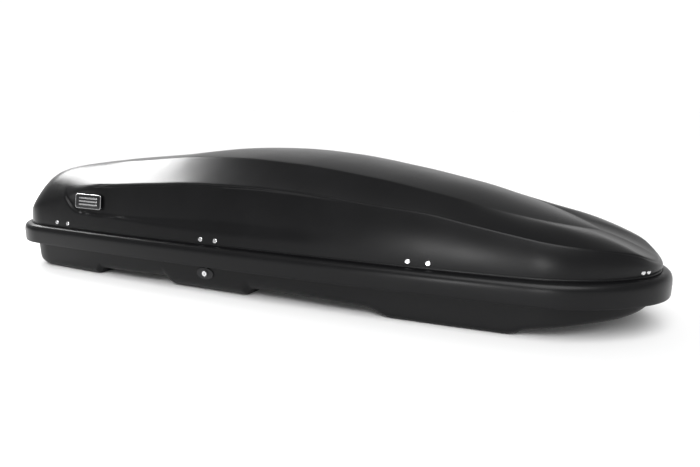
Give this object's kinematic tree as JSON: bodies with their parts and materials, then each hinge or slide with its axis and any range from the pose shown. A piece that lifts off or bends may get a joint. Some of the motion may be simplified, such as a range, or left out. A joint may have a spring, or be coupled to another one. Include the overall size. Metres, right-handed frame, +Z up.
{
  "type": "roof cargo box",
  "caption": "Long tapered car-roof luggage box: domed side-opening lid with a deep skirt band over a stepped base tray, key lock, lid lifters and crossbar clamps.",
  "frame": {"origin": "under the middle of the box, in the plane of the feet", "axes": "+X towards the pointed nose, +Y the car's left, the hinge side, +Z up"},
  "size_m": [1.9998, 0.7794, 0.3918],
  "materials": {
    "lid_abs": "fine-grained satin ABS",
    "base_abs": "grained ABS",
    "zinc_steel": "zinc plated",
    "bright_steel": "bright",
    "rubber": "matte",
    "badge": "satin",
    "black_nylon": "moulded nylon"
  },
  "bodies": {
    "base": {"base_shell": "base_abs", "rim_trim": "rubber", "rail_left": "zinc_steel", "rail_right": "zinc_steel", "base_rivets": "bright_steel", "front_bar_pads": "rubber", "rear_bar_pads": "rubber", "rear_hinge_base_leaf": "zinc_steel", "front_hinge_base_leaf": "zinc_steel", "rear_hinge_pin": "bright_steel", "front_hinge_pin": "bright_steel", "rear_lifter_base_bracket": "black_nylon", "front_lifter_base_bracket": "black_nylon", "lifter_base_pins": "bright_steel", "lock_escutcheon": "black_nylon", "lock_housing": "bright_steel", "lock_nut": "black_nylon", "bar_guides": "black_nylon", "rear_left_clamp_plate": "zinc_steel", "rear_right_clamp_plate": "zinc_steel", "front_left_clamp_plate": "zinc_steel", "front_right_clamp_plate": "zinc_steel"},
    "lid": {"lid_shell": "lid_abs", "rear_stiffener": "lid_abs", "front_stiffener": "lid_abs", "rear_hinge_lid_leaf": "zinc_steel", "front_hinge_lid_leaf": "zinc_steel", "rear_striker": "zinc_steel", "front_striker": "zinc_steel", "rear_locator": "black_nylon", "nose_locator": "black_nylon", "rear_lifter_lid_bracket": "black_nylon", "front_lifter_lid_bracket": "black_nylon", "lifter_lid_pins": "bright_steel", "rear_rivets": "bright_steel", "mid_rear_rivets": "bright_steel", "mid_front_rivets": "bright_steel", "nose_rivets": "bright_steel", "badge_plate": "badge"},
    "rear_lower_arm": {"rear_lower_arm": "zinc_steel", "rear_elbow_pin": "bright_steel"},
    "rear_upper_arm": {"rear_upper_arm": "zinc_steel"},
    "front_lower_arm": {"front_lower_arm": "zinc_steel", "front_elbow_pin": "bright_steel"},
    "front_upper_arm": {"front_upper_arm": "zinc_steel"},
    "lock_barrel": {"lock_barrel": "bright_steel"},
    "lock_bar": {"lock_bar": "zinc_steel", "lock_hooks": "zinc_steel"},
    "rear_left_u_bolt": {"rear_left_u_bolt": "zinc_steel"},
    "rear_left_aft_knob": {"rear_left_aft_knob": "black_nylon"},
    "rear_left_fore_knob": {"rear_left_fore_knob": "black_nylon"},
    "rear_right_u_bolt": {"rear_right_u_bolt": "zinc_steel"},
    "rear_right_aft_knob": {"rear_right_aft_knob": "black_nylon"},
    "rear_right_fore_knob": {"rear_right_fore_knob": "black_nylon"},
    "front_left_u_bolt": {"front_left_u_bolt": "zinc_steel"},
    "front_left_aft_knob": {"front_left_aft_knob": "black_nylon"},
    "front_left_fore_knob": {"front_left_fore_knob": "black_nylon"},
    "front_right_u_bolt": {"front_right_u_bolt": "zinc_steel"},
    "front_right_aft_knob": {"front_right_aft_knob": "black_nylon"},
    "front_right_fore_knob": {"front_right_fore_knob": "black_nylon"}
  },
  "joints": [
    {"name": "lid_hinge", "type": "hinge", "parent": "base", "child": "lid", "pos_m": [-0.141, 0.33145, 0.098], "axis": [-0.9949, 0.1009, 0], "range_deg": [0, 60]},
    {"name": "rear_lower_arm_pivot", "type": "hinge", "parent": "base", "child": "rear_lower_arm", "pos_m": [-0.91936, 0.15909, 0.11], "axis": [-0.9949, 0.1009, 0], "range_deg": [0, 60]},
    {"name": "rear_upper_arm_pivot", "type": "hinge", "parent": "lid", "child": "rear_upper_arm", "pos_m": [-0.91432, 0.20884, 0.16], "axis": [-0.9949, 0.1009, 0], "range_deg": [-60, 0]},
    {"name": "front_lower_arm_pivot", "type": "hinge", "parent": "base", "child": "front_lower_arm", "pos_m": [0.88352, 0.06674, 0.11], "axis": [-0.9949, 0.1009, 0], "range_deg": [0, 60]},
    {"name": "front_upper_arm_pivot", "type": "hinge", "parent": "lid", "child": "front_upper_arm", "pos_m": [0.88756, 0.10653, 0.16], "axis": [-0.9949, 0.1009, 0], "range_deg": [-60, 0]},
    {"name": "lock_turn", "type": "hinge", "parent": "base", "child": "lock_barrel", "pos_m": [-0.164, -0.31572, 0.058], "axis": [-0.101, 0.9949, 0], "range_deg": [0, 90]},
    {"name": "lock_bar_slide", "type": "slide", "parent": "base", "child": "lock_bar", "axis": [0.9949, 0.101, 0], "range_m": [0, 0.0284]},
    {"name": "rear_left_u_bolt_slide", "type": "slide", "parent": "base", "child": "rear_left_u_bolt", "axis": [0, 0, 1], "range_m": [-0.045, 0]},
    {"name": "rear_left_aft_knob_turn", "type": "hinge", "parent": "base", "child": "rear_left_aft_knob", "pos_m": [-0.501, 0.19, 0.0518], "axis": [0, 0, 1], "continuous": true},
    {"name": "rear_left_fore_knob_turn", "type": "hinge", "parent": "base", "child": "rear_left_fore_knob", "pos_m": [-0.411, 0.19, 0.0518], "axis": [0, 0, 1], "continuous": true},
    {"name": "rear_right_u_bolt_slide", "type": "slide", "parent": "base", "child": "rear_right_u_bolt", "axis": [0, 0, 1], "range_m": [-0.045, 0]},
    {"name": "rear_right_aft_knob_turn", "type": "hinge", "parent": "base", "child": "rear_right_aft_knob", "pos_m": [-0.501, -0.19, 0.0518], "axis": [0, 0, 1], "continuous": true},
    {"name": "rear_right_fore_knob_turn", "type": "hinge", "parent": "base", "child": "rear_right_fore_knob", "pos_m": [-0.411, -0.19, 0.0518], "axis": [0, 0, 1], "continuous": true},
    {"name": "front_left_u_bolt_slide", "type": "slide", "parent": "base", "child": "front_left_u_bolt", "axis": [0, 0, 1], "range_m": [-0.045, 0]},
    {"name": "front_left_aft_knob_turn", "type": "hinge", "parent": "base", "child": "front_left_aft_knob", "pos_m": [0.097, 0.19, 0.0518], "axis": [0, 0, 1], "continuous": true},
    {"name": "front_left_fore_knob_turn", "type": "hinge", "parent": "base", "child": "front_left_fore_knob", "pos_m": [0.187, 0.19, 0.0518], "axis": [0, 0, 1], "continuous": true},
    {"name": "front_right_u_bolt_slide", "type": "slide", "parent": "base", "child": "front_right_u_bolt", "axis": [0, 0, 1], "range_m": [-0.045, 0]},
    {"name": "front_right_aft_knob_turn", "type": "hinge", "parent": "base", "child": "front_right_aft_knob", "pos_m": [0.097, -0.19, 0.0518], "axis": [0, 0, 1], "continuous": true},
    {"name": "front_right_fore_knob_turn", "type": "hinge", "parent": "base", "child": "front_right_fore_knob", "pos_m": [0.187, -0.19, 0.0518], "axis": [0, 0, 1], "continuous": true}
  ],
  "couplings": [
    {"joint": "rear_lower_arm_pivot", "follows": "lid_hinge", "ratio": 1},
    {"joint": "rear_upper_arm_pivot", "follows": "lid_hinge", "ratio": -1},
    {"joint": "front_lower_arm_pivot", "follows": "lid_hinge", "ratio": 1},
    {"joint": "front_upper_arm_pivot", "follows": "lid_hinge", "ratio": -1},
    {"joint": "lock_bar_slide", "follows": "lock_turn", "m_per_rad": 0.018006}
  ]
}
